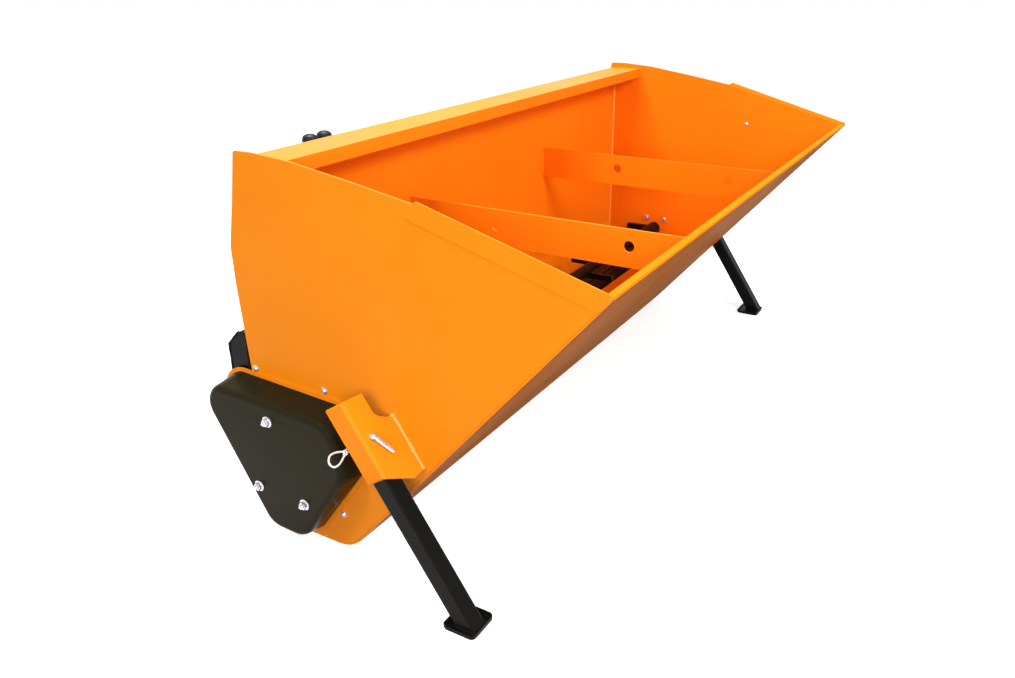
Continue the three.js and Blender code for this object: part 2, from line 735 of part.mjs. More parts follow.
// Legs. Local axes: outwards from the plate, down along the leg, and up out of the bracket's front face.
const legFrame = (side) => [
  side, 0, 0, 0,
  0, -Math.sin(legLean), -Math.cos(legLean), 0,
  0, -Math.cos(legLean), Math.sin(legLean), 0,
  side * half, -bracketReach, bracketHeight, 1,
];
const legGap = 0.5;
const tubeOut = bracketWidth - bracketSheet - legGap;
const tubeIn = tubeOut - legTube;
const tubeFront = -bracketSheet - gap;
const tubeBack = tubeFront - legTube;
const pinOut = (tubeOut + tubeIn) / 2;
const pinDepth = 10.6;
const webShares = [
  [gap / bracketWidth, -0.01, 0],
  [0.19, -0.03, 0],
  [0.42, -0.18, 0.18],
  [0.43, -0.67, 0],
  [1, -0.72, 0.04],
  [1, 0.91, 0.04],
  [0.33, 1.26, 0],
  [gap / bracketWidth, 1.23, 0],
];
const webOutline = rounded(webShares.map(([out, down, r]) => [
  out * bracketWidth,
  down * bracketWidth,
  r * bracketWidth,
]), 4);
const bendRadius = 6;
const angleOutline = rounded([
  [gap, 0, 0],
  [bracketWidth, 0, bendRadius],
  [bracketWidth, -flangeDepth, 0],
  [bracketWidth - bracketSheet, -flangeDepth, 0],
  [bracketWidth - bracketSheet, -bracketSheet, bendRadius - bracketSheet],
  [gap, -bracketSheet, 0],
], 4);
const bracket = prism(webOutline, -flangeDepth - gap, gap, 'z')
  .intersect(prism(angleOutline, -bracketWidth, 2 * bracketWidth, 'y'))
  .subtract(rod(pinOut, pinDepth, pinRadius + gap, -flangeDepth, gap, 'z', smallSides));

const tubeCorner = 3;
const squareTube = (inset, from, to) => prism(rounded([
  [tubeIn + inset, tubeBack + inset, tubeCorner],
  [tubeOut - inset, tubeBack + inset, tubeCorner],
  [tubeOut - inset, tubeFront - inset, tubeCorner],
  [tubeIn + inset, tubeFront - inset, tubeCorner],
], 2), from, to, 'y');
const legReach = (bracketHeight - footThickness) / Math.cos(legLean) + legTube;
const legBlank = squareTube(0, -legTop, legReach)
  .subtract(squareTube(tubeWall, -legTop - gap, legReach + gap))
  .subtract(rod(pinOut, pinDepth, pinRadius + gap, tubeBack - gap, tubeFront + gap, 'z', smallSides));
const footTop = footThickness + gap;
const legBelow = (side) => {
  const [x0, x1] = [side * half, side * (half + 2 * bracketWidth)].sort((a, b) => a - b);
  return box(x0, x1, -lipReach, 0, -bracketHeight, footTop);
};

const legFrontReach = bracketReach
  + (bracketHeight - footThickness) * Math.tan(legLean)
  - (bracketSheet + gap) / Math.cos(legLean);
const footFrontReach = legFrontReach + footLead;
const footRise = 5;
const footToe = 10;
const footOutline = folded([
  [-footFrontReach, 0],
  [-footFrontReach + footDepth - footToe, 0],
  [-footFrontReach + footDepth, footRise],
], footThickness);
const footOuter = -half - tubeOut - footMargin;
const footBounds = rounded([
  [footOuter, -footFrontReach, footToe],
  [footOuter + footLength, -footFrontReach, footToe],
  [footOuter + footLength, -footFrontReach + footDepth, footToe],
  [footOuter, -footFrontReach + footDepth, footToe],
], 4);
const foot = prism(footOutline, footOuter - gap, -half, 'x')
  .intersect(prism(footBounds, -footThickness, 3 * footThickness, 'z'));

// The pin's bent end lies on the bracket, and the R-clip goes through its other end behind the leg.
const wireRadius = 1.75;
const clipLevel = -flangeDepth - pinRadius;
const pinEnd = clipLevel - pinRadius - wireRadius;
const pinHead = pinRadius + gap;
const handleShares = [-0.46, 0.88];
const pinBendShare = 1.2;
const handleLength = 50;
const pinPath = bent([
  [pinOut, pinDepth, pinEnd],
  [pinOut, pinDepth, pinHead],
  [pinOut + handleShares[0] * handleLength, pinDepth + handleShares[1] * handleLength, pinHead],
], pinRadius * pinBendShare);
const clipHole = sweep([
  [pinOut - 2 * pinRadius, pinDepth, clipLevel],
  [pinOut + 2 * pinRadius, pinDepth, clipLevel],
], wireRadius + gap, smallSides);
const legPin = sweep(pinPath, pinRadius).subtract(clipHole);
const clipTailShare = -3.2;
const clipLoopShares = [
  [2.8, 0], [5.2, 0.1], [8.6, -1.2], [11.6, -1.3], [13.3, 0.5], [12.5, 2.6], [9.6, 2.9], [5.6, 1.3], [3.4, 1.2],
];
const clipReturn = pinRadius + wireRadius + gap;
const clipCurve = smooth(clipLoopShares.map(([out, down]) => [
  pinOut + out * pinRadius,
  pinDepth + down * pinRadius,
  clipLevel,
]), 24);
const clipPath = [
  [pinOut + clipTailShare * pinRadius, pinDepth, clipLevel],
  ...clipCurve,
  [pinOut + 2 * pinRadius, pinDepth + clipReturn, clipLevel],
  [pinOut + clipTailShare * pinRadius, pinDepth + clipReturn, clipLevel],
];
const clip = sweep(clipPath, wireRadius, 8);

ends.forEach(([end, side]) => {
  const doubler = prism(doublerOutline, -half - gap - sheet, -half - gap, 'x');
  add(`${end}_top_doubler`, handed(doubler, side), 'orange');
  add(`${end}_brace`, handed(brace, side), 'orange');
  add(`${end}_leg_bracket`, bracket.transform(legFrame(side)), 'orange');
  add(`${end}_leg`, legBlank.transform(legFrame(side)).subtract(legBelow(side)), 'black');
  add(`${end}_leg_foot`, handed(foot, side), 'black');
  add(`${end}_leg_pin`, legPin.transform(legFrame(side)), 'zinc');
  add(`${end}_r_clip`, clip.transform(legFrame(side)), 'zinc');
});

// Hitch: a box beam between the ears of the end plates, a mast on it and two link brackets behind it.
const beamFront = beamRear - beamDepth;
const beamBottom = beamTop - beamHeight;
const beamOutline = [
  [beamFront, beamBottom],
  [beamFront, beamTop],
  [beamRear - beamChamfer, beamTop],
  [beamRear, beamTop - beamChamfer],
  [beamRear, beamBottom],
];
const beamInner = [
  [beamFront + plate, beamBottom + plate],
  [beamFront + plate, beamTop - plate],
  [beamRear - beamChamfer - plate / 2, beamTop - plate],
  [beamRear - plate, beamTop - beamChamfer - plate / 2],
  [beamRear - plate, beamBottom + plate],
];
const drainRadius = 6;
const beamMiddle = (beamFront + beamRear) / 2;
const drains = [-1, 1].map((side) => {
  return rod(side * lowerLinkSpacing, beamMiddle, drainRadius, beamBottom - plate, beamBottom + 2 * plate, 'z');
});
const beam = drains.reduce(
  (body, drain) => body.subtract(drain),
  prism(beamOutline, -inside, inside, 'x').subtract(prism(beamInner, -inside + plate, inside - plate, 'x')),
);
add('hitch_beam', beam, 'black');

const mastThickness = 10;
const mastSpacing = 27;
const mastSeat = beamFront - gap;
const wallRear = -wallReach + sheet + gap;
const topLinkSpot = [topLinkRearReach, topLinkHeight];
const mastEar = loopAround([
  [...topLinkSpot, linkEarRadius],
  [wallRear + linkEarRadius, topLinkHeight - 3 * linkEarRadius, linkEarRadius],
  [beamFront + linkEarRadius / 2, beamTop + gap + linkEarRadius / 2, linkEarRadius / 2],
  [wallRear + linkEarRadius / 2, beamTop + gap + linkEarRadius / 2, linkEarRadius / 2],
], 0, 36);
const mastFoot = [
  [wallRear, beamBottom],
  [mastSeat, beamBottom],
  [mastSeat, beamTop + linkEarRadius],
  [wallRear, beamTop + linkEarRadius],
];
ends.forEach(([end, side]) => {
  const [x0, x1] = [-mastSpacing - mastThickness, -mastSpacing];
  const mast = prism(mastEar, x0, x1, 'x')
    .add(prism(mastFoot, x0, x1, 'x'))
    .subtract(rod(...topLinkSpot, topLinkRadius + gap, x0 - gap, x1 + gap, 'x'));
  add(`${end}_mast`, handed(mast, side), 'black');
});

const linkEar = 10;
const linkGap = 46;
const linkEarOutline = loopAround([
  [beamRear + gap + linkEar / 2, beamTop - beamChamfer - linkEar, linkEar / 2],
  [beamRear + gap + linkEar / 2, beamBottom + linkEar, linkEar / 2],
  [lowerLinkRearReach, lowerLinkHeight, lowerLinkRadius + linkEar],
], 0, 30);
const linkSpot = [lowerLinkRearReach, lowerLinkHeight];
const linchRadius = 4;
const linchSides = 12;
const linchRingShares = { radius: 3.6, wire: 0.45 };

// A hitch pin with a head at one end and a cross hole at the other, starting at the outer face of its ears.
const pinHeadWidth = 8;
const pinTail = 26;
const hitchPinShares = { head: 1.5, taper: 0.3, tip: 0.7 };
const hitchPin = (spot, radius, x0, x1) => {
  const tail = x1 + pinTail;
  const profile = [
    [x0 - gap - pinHeadWidth, 0],
    [x0 - gap - pinHeadWidth, radius * hitchPinShares.head],
    [x0 - gap, radius * hitchPinShares.head],
    [x0 - gap, radius],
    [tail - radius * hitchPinShares.taper, radius],
    [tail, radius * hitchPinShares.tip],
    [tail, 0],
  ];
  const cross = rod(x1 + linkEar, spot[0], linchRadius + gap, spot[1] - 2 * radius, spot[1] + 2 * radius, 'z');
  return turned(profile, ...spot, 'x').subtract(cross);
};

// A linch pin dropped through the cross hole, with its ring turned up.
const linchPin = (spot, radius, x1) => {
  const x = x1 + linkEar;
  const seat = spot[1] + radius + gap;
  const headHeight = 2 * linchRadius;
  const ringRadius = linchRadius * linchRingShares.radius;
  const ringWire = linchRadius * linchRingShares.wire;
  const profile = [
    [seat - 2 * radius - 3 * linchRadius, 0],
    [seat - 2 * radius - 2 * linchRadius, linchRadius],
    [seat, linchRadius],
    [seat, 2 * linchRadius],
    [seat + headHeight, 2 * linchRadius],
    [seat + headHeight, 0],
  ];
  const ring = new THREE.TorusGeometry(ringRadius, ringWire, 6, 16);
  ring.rotateY(Math.PI / 2);
  ring.translate(x, spot[0], seat + headHeight + ringRadius - ringWire);
  return turned(profile, x, spot[0], 'z', linchSides).add(solid(ring));
};

ends.forEach(([end, side]) => {
  const middle = side * lowerLinkSpacing;
  const [x0, x1] = [middle - linkGap / 2 - linkEar, middle + linkGap / 2 + linkEar];
  const linkBase = box(x0, x1, beamRear + gap, beamRear + gap + linkEar, beamBottom, beamTop - beamChamfer - linkEar);
  const holes = [circle(...linkSpot, lowerLinkRadius + gap)];
  const link = linkBase
    .add(prism(linkEarOutline, x0, x0 + linkEar, 'x', holes))
    .add(prism(linkEarOutline, x1 - linkEar, x1, 'x', holes));
  add(`${end}_lower_link_bracket`, link, 'black');
  add(`${end}_lower_link_pin`, hitchPin(linkSpot, lowerLinkRadius, x0, x1), 'zinc');
  add(`${end}_linch_pin`, linchPin(linkSpot, lowerLinkRadius, x1), 'zinc');
});
const mastFace = mastSpacing + mastThickness;
add('top_link_pin', hitchPin(topLinkSpot, topLinkRadius, -mastFace, mastFace), 'zinc');
add('top_linch_pin', linchPin(topLinkSpot, topLinkRadius, mastFace), 'zinc');

// Two quick couplers parked upright in a holder on the wall, each under a rubber cap, with their hoses.
const holderDrop = 60;
const couplerRadius = 13;
const couplerNeck = 9;
const couplerTail = 30;
const couplerFoot = holderHeight - couplerTail;
const capRadius = 16;
const capLength = 42;
const capWall = 3;
const holderHalf = couplerSpacing + couplerRadius;
const holderPath = [
  [wallRear, holderHeight - holderDrop],
  [wallRear, holderHeight],
  [couplerRearReach + 2 * couplerRadius, holderHeight],
];
const couplerSpots = [-couplerLength - couplerSpacing / 2, -couplerLength + couplerSpacing / 2];
const holder = couplerSpots.reduce(
  (body, x) => body.subtract(rod(
    x,
    couplerRearReach,
    couplerNeck + gap,
    holderHeight - 2 * sheet,
    holderHeight + sheet,
    'z',
  )),
  prism(folded(holderPath, -sheet), -couplerLength - holderHalf, -couplerLength + holderHalf, 'x'),
);
add('coupler_holder', holder, 'black');
const plugRadius = capRadius - capWall - gap;
const capFoot = capTop - capLength;
const capCrownShares = [[0.6, 1], [0.25, 0.85], [0.05, 0.5], [0, 0]];
const hoseLead = 1;
const hoseBend = 8 * hoseRadius;
const hoseRises = [60, -40];
const hoseDrop = 60;
couplerSpots.forEach((x, i) => {
  const body = turned([
    [couplerFoot, 0],
    [couplerFoot, couplerNeck],
    [holderHeight + gap, couplerNeck],
    [holderHeight + gap, couplerRadius],
    [capFoot - gap, couplerRadius],
    [capFoot - gap, plugRadius],
    [capTop - capWall - 3 * gap, plugRadius],
    [capTop - capWall - 3 * gap, 0],
  ], x, couplerRearReach, 'z', 24);
  add(`hose_coupler_${i + 1}`, body, 'steel');
  const cap = turned([
    [capFoot, plugRadius + gap],
    [capFoot, capRadius],
    ...capCrownShares.map(([down, out]) => [capTop - down * capRadius, out * capRadius]),
    [capTop - capWall, 0],
    [capTop - capWall - gap, plugRadius / 2],
    [capTop - capWall - 2 * gap, plugRadius + gap],
    [capFoot, plugRadius + gap],
  ], x, couplerRearReach, 'z', 24);
  add(`hose_cap_${i + 1}`, cap, 'rubber');
  const port = portSpots[portSpots.length - 1 - i];
  const hoseRear = portRear + hoseLead + hoseBend;
  const route = [
    [port, portRear + gap, motorHeight],
    [port, hoseRear, motorHeight],
    [x, hoseRear, motorHeight + hoseRises[i]],
    [x, couplerRearReach, couplerFoot - hoseDrop],
    [x, couplerRearReach, couplerFoot - gap],
  ];
  add(`hydraulic_hose_${i + 1}`, sweep(arced(route, hoseBend), hoseRadius, 10), 'rubber');
});

export default topdresser;
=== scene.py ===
import json
import math

import bmesh
import bpy
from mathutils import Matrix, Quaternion, Vector


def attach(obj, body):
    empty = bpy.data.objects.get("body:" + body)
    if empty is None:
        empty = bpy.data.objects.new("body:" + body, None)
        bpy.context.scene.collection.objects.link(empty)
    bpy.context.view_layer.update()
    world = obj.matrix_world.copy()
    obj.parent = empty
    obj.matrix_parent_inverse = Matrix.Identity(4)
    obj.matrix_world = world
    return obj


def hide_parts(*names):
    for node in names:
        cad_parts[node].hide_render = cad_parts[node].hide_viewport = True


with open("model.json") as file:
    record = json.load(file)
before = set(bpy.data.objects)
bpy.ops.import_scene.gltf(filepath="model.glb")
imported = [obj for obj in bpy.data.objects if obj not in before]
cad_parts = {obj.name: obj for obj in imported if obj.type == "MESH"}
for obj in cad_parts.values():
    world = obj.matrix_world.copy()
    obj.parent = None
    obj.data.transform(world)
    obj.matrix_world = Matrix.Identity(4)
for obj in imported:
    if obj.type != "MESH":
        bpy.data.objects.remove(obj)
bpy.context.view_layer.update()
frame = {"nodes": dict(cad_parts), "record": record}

nodes = frame["nodes"]

# Lengths on the part are in millimetres, and times mm where Blender takes metres.
# The camera, the floor and the lamps are placed in metres.
mm = 0.001
rear_corner = 283.125
half = 800
plate = 4
inner_face = half - plate
gap = 0.3
ends = (("near", -1), ("far", 1))
to_far, to_near = (1, 0, 0), (-1, 0, 0)


def at(x, y, z):
    """A point from millimetres, with y counted from the rear top corner of the end plates."""
    return Vector((x, y + rear_corner, z)) * mm


# Camera at the photograph's angle.
camera_spot = Vector((-1.8419, -0.9103, 1.0800))
camera_ahead = Vector((0.7825, 0.4746, -0.4030))
camera_roll = math.radians(-0.69)
camera_data = bpy.data.cameras.new("camera")
camera_data.lens = 30.25
camera_data.sensor_width = 36
camera_data.clip_start = 0.01
camera_data.clip_end = 100
camera = bpy.data.objects.new("camera", camera_data)
camera.location = camera_spot
camera.rotation_mode = "QUATERNION"
camera.rotation_quaternion = camera_ahead.to_track_quat("-Z", "Y") @ Quaternion((0, 0, 1), camera_roll)
bpy.context.scene.collection.objects.link(camera)
bpy.context.scene.camera = camera

# Materials
noise_low, noise_high = 0.3, 0.7
speck_tone, speck_share = 0.8, 0.15
scuff_share = 0.1
lacquer_ior = 1.5


class Tree:
    """A material's node tree, with short ways to add and join its nodes."""

    def __init__(self, name):
        self.material = bpy.data.materials.new(name)
        self.material.use_nodes = True
        self.nodes = self.material.node_tree.nodes
        self.links = self.material.node_tree.links
        self.nodes.clear()
        self.place = self.add("ShaderNodeTexCoord").outputs["Object"]

    def add(self, kind, **settings):
        made = self.nodes.new(kind)
        for key, value in settings.items():
            setattr(made, key, value)
        return made

    def join(self, source, target):
        """Links a socket to another, or sets the other to a colour."""
        if isinstance(source, tuple):
            target.default_value = source
        else:
            self.links.new(source, target)

    def noise(self, scale, detail=2.0, roughness=0.5, stretch=None):
        made = self.add("ShaderNodeTexNoise")
        made.inputs["Scale"].default_value = scale
        made.inputs["Detail"].default_value = detail
        made.inputs["Roughness"].default_value = roughness
        place = self.place
        if stretch:
            mapping = self.add("ShaderNodeMapping")
            mapping.inputs["Scale"].default_value = stretch
            self.join(place, mapping.inputs["Vector"])
            place = mapping.outputs["Vector"]
        self.join(place, made.inputs["Vector"])
        return made.outputs["Fac"]

    def spread(self, source, low=noise_low, high=noise_high, to_low=0.0, to_high=1.0):
        """Stretches the part of a value from low to high over another range."""
        made = self.add("ShaderNodeMapRange")
        self.join(source, made.inputs["Value"])
        limits = {"From Min": low, "From Max": high, "To Min": to_low, "To Max": to_high}
        for name, value in limits.items():
            made.inputs[name].default_value = value
        return made.outputs["Result"]

    def around(self, source, middle, share):
        """Lets a value stray from its middle by a share of it."""
        return self.spread(source, to_low=middle * (1 - share), to_high=middle * (1 + share))

    def blend(self, share, first, second):
        """Mixes two colours; the sockets are the colour ones of the Mix node."""
        made = self.add("ShaderNodeMix", data_type="RGBA")
        self.join(share, made.inputs[0])
        self.join(first, made.inputs[6])
        self.join(second, made.inputs[7])
        return made.outputs[2]

    def bump(self, height, distance, strength, after=None):
        made = self.add("ShaderNodeBump")
        made.inputs["Strength"].default_value = strength
        made.inputs["Distance"].default_value = distance
        self.join(height, made.inputs["Height"])
        if after:
            self.join(after, made.inputs["Normal"])
        return made.outputs["Normal"]

    def finish(self, colour, roughness, normal, **constants):
        shader = self.add("ShaderNodeBsdfPrincipled")
        self.join(colour, shader.inputs["Base Color"])
        self.join(roughness, shader.inputs["Roughness"])
        self.join(normal, shader.inputs["Normal"])
        for name, value in constants.items():
            shader.inputs[name.replace("_", " ")].default_value = value
        output = self.add("ShaderNodeOutputMaterial")
        self.join(shader.outputs["BSDF"], output.inputs["Surface"])
        return self.material


def rgb(red, green, blue):
    return (red, green, blue, 1)


def scuffs(tree):
    """Fine straight marks that show only here and there."""
    lines = tree.noise(scale=30.0, detail=3.0, stretch=(1.0, 12.0, 3.0))
    marks = tree.spread(lines, low=0.70, high=0.74)
    patches = tree.spread(tree.noise(scale=4.0), low=0.56, high=0.68)
    both = tree.add("ShaderNodeMath", operation="MULTIPLY")
    tree.join(marks, both.inputs[0])
    tree.join(patches, both.inputs[1])
    return both.outputs[0]


def paint(name, deep, light, scuffed, roughness, specular, peel, waves=0.3):
    """Powder coat: slow drifts in colour, an orange-peel skin and a few fine marks."""
    tree = Tree(name)
    drift = tree.spread(tree.noise(scale=2.3, detail=3.0))
    colour = tree.blend(drift, deep, light)
    specks = tree.spread(tree.noise(scale=60.0), low=0.66, high=0.78, to_high=speck_share)
    colour = tree.blend(specks, colour, rgb(*(speck_tone * value for value in deep[:3])))
    faint = tree.spread(scuffs(tree), low=0.0, high=1.0, to_high=scuff_share)
    colour = tree.blend(faint, colour, scuffed)
    gloss = tree.around(tree.noise(scale=5.5, detail=3.0), roughness, share=0.15)
    wave = tree.bump(tree.noise(scale=6.0, detail=1.0), distance=1.6 * mm, strength=waves)
    skin = tree.bump(tree.noise(scale=900.0), distance=0.05 * mm, strength=peel, after=wave)
    return tree.finish(colour, gloss, skin, Specular_IOR_Level=specular, IOR=lacquer_ior)


def metal(name, dark, light, roughness, grain, metallic=1.0):
    """Plated or oiled steel: cloudy tone and a fine directional grain."""
    tree = Tree(name)
    cloud = tree.spread(tree.noise(scale=140.0, detail=3.0), low=0.35, high=0.65)
    colour = tree.blend(cloud, dark, light)
    streak = tree.noise(scale=500.0, stretch=(0.15, 1.0, 1.0))
    gloss = tree.around(streak, roughness, share=0.3)
    skin = tree.bump(streak, distance=0.04 * mm, strength=grain)
    return tree.finish(colour, gloss, skin, Metallic=metallic)


def casting(name, dark, light):
    """Painted cast iron with a sandy skin."""
    tree = Tree(name)
    cloud = tree.spread(tree.noise(scale=25.0, detail=3.0), low=0.35, high=0.65)
    colour = tree.blend(cloud, dark, light)
    sand = tree.bump(tree.noise(scale=450.0, detail=4.0, roughness=0.65), distance=0.4 * mm, strength=0.5)
    gloss = tree.spread(tree.noise(scale=90.0), to_low=0.38, to_high=0.6)
    return tree.finish(colour, gloss, sand, Specular_IOR_Level=0.2, IOR=lacquer_ior)


def moulding(name, dark, light, roughness):
    """Moulded rubber with pale dust held in a fine matt skin."""
    tree = Tree(name)
    dust = tree.spread(tree.noise(scale=18.0, detail=4.0, roughness=0.6), low=0.45, high=0.75, to_high=0.7)
    colour = tree.blend(dust, dark, light)
    gloss = tree.around(tree.noise(scale=35.0), roughness, share=0.2)
    skin = tree.bump(tree.noise(scale=700.0, detail=3.0), distance=0.08 * mm, strength=0.5)
    return tree.finish(colour, gloss, skin, Specular_IOR_Level=0.18, IOR=lacquer_ior)


orange = paint(
    "orange_powder",
    deep=rgb(0.81, 0.222, 0.0045),
    light=rgb(0.88, 0.256, 0.0070),
    scuffed=rgb(0.92, 0.36, 0.06),
    roughness=0.38,
    specular=0.10,
    peel=0.25,
)
# The front plate's coat: a darker copy of the orange, painted shade for the front plate, with hardly any
# gloss, because its underside faces the white floor.
front_orange_painted_shade = paint(
    "underside_orange_painted_shade",
    deep=rgb(0.76, 0.200, 0.0050),
    light=rgb(0.83, 0.230, 0.0080),
    scuffed=rgb(0.90, 0.34, 0.06),
    roughness=0.5,
    specular=0.004,
    peel=0.3,
)
# A deeper, redder copy of the orange at the far end: painted shade for the far end plate and brace inside
# the hopper.
far_orange_painted_shade = paint(
    "far_orange_painted_shade",
    deep=rgb(0.81, 0.172, 0.0030),
    light=rgb(0.88, 0.198, 0.0045),
    scuffed=rgb(0.92, 0.30, 0.04),
    roughness=0.4,
    specular=0.06,
    peel=0.25,
)
# A paler, glossier copy of the orange over weld beads: the paler colour is a painted highlight for the
# light the beads catch.
bead_orange_painted_highlight = paint(
    "bead_orange_painted_highlight",
    deep=rgb(0.92, 0.32, 0.04),
    light=rgb(0.96, 0.38, 0.07),
    scuffed=rgb(0.96, 0.45, 0.12),
    roughness=0.24,
    specular=0.5,
    peel=0.25,
)
black = paint(
    "black_powder",
    deep=rgb(0.0028, 0.0028, 0.0024),
    light=rgb(0.0055, 0.0052, 0.0045),
    scuffed=rgb(0.02, 0.02, 0.02),
    roughness=0.32,
    specular=0.06,
    peel=0.35,
    waves=0.08,
)
cover_black = paint(
    "cover_powder",
    deep=rgb(0.0150, 0.0120, 0.0045),
    light=rgb(0.0190, 0.0152, 0.0062),
    scuffed=rgb(0.04, 0.034, 0.022),
    roughness=0.25,
    specular=0.04,
    peel=0.2,
    waves=0.06,
)
zinc = metal(
    "zinc_plate",
    dark=rgb(0.42, 0.44, 0.48),
    light=rgb(0.70, 0.71, 0.74),
    roughness=0.24,
    grain=0.4,
    metallic=0.7,
)
bright_wire = metal(
    "bright_wire",
    dark=rgb(0.70, 0.71, 0.74),
    light=rgb(0.84, 0.85, 0.87),
    roughness=0.3,
    grain=0.2,
    metallic=0.35,
)
steel = metal(
    "oiled_steel",
    dark=rgb(0.10, 0.10, 0.105),
    light=rgb(0.26, 0.26, 0.27),
    roughness=0.38,
    grain=0.6,
)
iron = casting("iron_paint", dark=rgb(0.008, 0.009, 0.010), light=rgb(0.019, 0.020, 0.022))
rubber = moulding(
    "black_rubber",
    dark=rgb(0.005, 0.005, 0.005),
    light=rgb(0.016, 0.015, 0.013),
    roughness=0.42,
)

finish_of = {
    "orange_paint": orange,
    "black_paint": black,
    "cover_black": cover_black,
    "zinc": zinc,
    "steel": steel,
    "cast_iron": iron,
    "rubber": rubber,
}
# The front plate and the far end plate and brace take darker copies of the orange, painted shade; the
# clips take bright wire.
special_finishes = {
    "front_plate": front_orange_painted_shade,
    "far_end_plate": far_orange_painted_shade,
    "far_brace": far_orange_painted_shade,
    "near_r_clip": bright_wire,
    "far_r_clip": bright_wire,
}
slot_of = {row["node"]: row["material_slot"] for row in frame["record"]["subparts"]}

# Solids of the CAD model
edge_radius = 0.7 * mm
sheet_edge_radius = 1.1 * mm
edge_segments = 2
flat_angle = math.radians(0.6)
sharp_edge_angle = math.radians(28)


def join_flat_faces(piece):
    flat = piece.modifiers.new("flat", "DECIMATE")
    flat.decimate_type = "DISSOLVE"
    flat.angle_limit = flat_angle


def round_edges(piece, radius):
    bevel = piece.modifiers.new("edges", "BEVEL")
    bevel.width = radius
    bevel.segments = edge_segments
    bevel.limit_method = "ANGLE"
    bevel.angle_limit = sharp_edge_angle
    bevel.harden_normals = True
    bevel.use_clamp_overlap = True


def dress(name, piece):
    """Gives a solid its finish and real edges. Joined faces would leave a dark line on the end plates."""
    slot = slot_of[name]
    piece.data.materials.clear()
    piece.data.materials.append(special_finishes.get(name, finish_of[slot]))
    piece.data.shade_smooth()
    if not name.endswith("end_plate"):
        join_flat_faces(piece)
    round_edges(piece, sheet_edge_radius if slot == "orange_paint" else edge_radius)


for name, piece in nodes.items():
    dress(name, piece)


# Shapes
class Shape:
    """A mesh in the making, with short ways to add turned and swept solids."""

    def __init__(self):
        self.mesh = bmesh.new()

    def rings(self, rings):
        """Joins rings of points with faces; a ring of one point closes an end."""
        made = [[self.mesh.verts.new(point) for point in ring] for ring in rings]
        for low, high in zip(made, made[1:]):
            for i in range(max(len(low), len(high))):
                below = [low[k % len(low)] for k in (i, i + 1)]
                above = [high[k % len(high)] for k in (i + 1, i)]
                self.mesh.faces.new(list(dict.fromkeys(below + above)))

    def lathe(self, profile, centre, axis, sides=48):
        """Turned solid: rows of distance along the axis and radius, in millimetres."""
        turn = Vector(axis).to_track_quat("Z", "Y")

        def ring(along, out):
            count = sides if out else 1
            angles = [2 * math.pi * i / count for i in range(count)]
            spots = [Vector((out * math.cos(a), out * math.sin(a), along)) for a in angles]
            return [centre + (turn @ spot) * mm for spot in spots]

        self.rings([ring(*row) for row in profile])

    def sweep(self, points, radii, sides):
        """Round bar through the points, with one radius for each, in metres."""
        last = len(points) - 1
        runs = [(points[min(i + 1, last)] - points[max(i - 1, 0)]).normalized() for i in range(last + 1)]
        side = runs[0].orthogonal().normalized()
        rings = [[points[0]]]
        for point, run, radius in zip(points, runs, radii):
            side = (side - run * side.dot(run)).normalized()
            up = run.cross(side)
            angles = [2 * math.pi * i / sides for i in range(sides)]
            rings.append([point + (side * math.cos(a) + up * math.sin(a)) * radius for a in angles])
        rings.append([points[last]])
        self.rings(rings)

    def piece(self, name, body, slot, stands_for=None, finish=None, sharp=40):
        """Makes the object, hangs it on its body's empty, gives it the finish of its slot unless one is
        given, and hides the node it stands for.
        """
        bmesh.ops.recalc_face_normals(self.mesh, faces=self.mesh.faces)
        mesh = bpy.data.meshes.new(name)
        self.mesh.to_mesh(mesh)
        self.mesh.free()
        mesh.materials.append(finish or finish_of[slot])
        mesh.shade_smooth()
        mesh.set_sharp_from_angle(angle=math.radians(sharp))
        made = bpy.data.objects.new(name, mesh)
        bpy.context.scene.collection.objects.link(made)
        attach(made, body)
        if stands_for:
            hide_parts(stands_for)
        return made


def arced(points, radius, steps=7):
    """A path of points with its inner corners on true arcs."""
    made = [points[0]]
    for before, corner, after in zip(points, points[1:], points[2:]):
        back = (before - corner).normalized()
        ahead = (after - corner).normalized()
        half_angle = back.angle(ahead) / 2
        centre = corner + (back + ahead).normalized() * (radius / math.sin(half_angle))
        spoke = corner + back * (radius / math.tan(half_angle)) - centre
        axis = ahead.cross(back).normalized()
        turn = math.pi - 2 * half_angle
        made += [centre + Quaternion(axis, turn * k / steps) @ spoke for k in range(steps + 1)]
    return made + [points[-1]]


def spaced(points, step):
    """The same path with its points a step apart."""
    made = []
    for start, end in zip(points, points[1:]):
        count = max(1, round((end - start).length / step))
        made += [start.lerp(end, k / count) for k in range(count)]
    return made + [points[-1]]


# Welds: each bead is half sunk in its joint.
bead_sides = 8
bead_sharp = 80
points_per_ripple = 4
fine_ripple = 3.2
coarse_ripple = 5
ripple_share = 0.13
# Slow unevennesses: a share of the bead's radius, and the turn from point to point.
uneven_waves = ((0.1, 0.13), (0.05, 0.71))


def bead_swell(k):
    """A bead's thickness at its k-th point, as a share of its radius."""
    swell = 1 + ripple_share * math.cos(2 * math.pi * k / points_per_ripple)
    for share, turn in uneven_waves:
        swell += share * math.sin(turn * k)
    return swell


def bead(shape, points, radius, ripple=fine_ripple):
    """A weld bead along a path."""
    path = spaced(points, ripple * mm / points_per_ripple)
    shape.sweep(path, [radius * mm * bead_swell(k) for k in range(len(path))], bead_sides)


# Hoses from the motor's ports to the couplers, on the route of their solids.
hose_radius = 7
hose_bend_ratio = 8
hose_bend = hose_bend_ratio * hose_radius
hose_lead = 1
hose_drop = 60
hose_rises = (60, -40)
port_rear = 99
port_height = 287
port_spots = (-692.58, -736.8)
port_fitting_length = 12
coupler_spots = (-561, -519)
coupler_rear = 43
coupler_foot = 630
coupler_fitting_length = 34
fitting_hexagon = 11
fitting_chamfer = 1
hexagon_share = 0.4
fitting_neck = 8
fitting_mouth = 7.2
crimp_count = 4
# Share of a crimped ring's length, and radius there.
crimp_rows = ((0.2, 9.2), (0.75, 9.2), (0.95, 8.2))


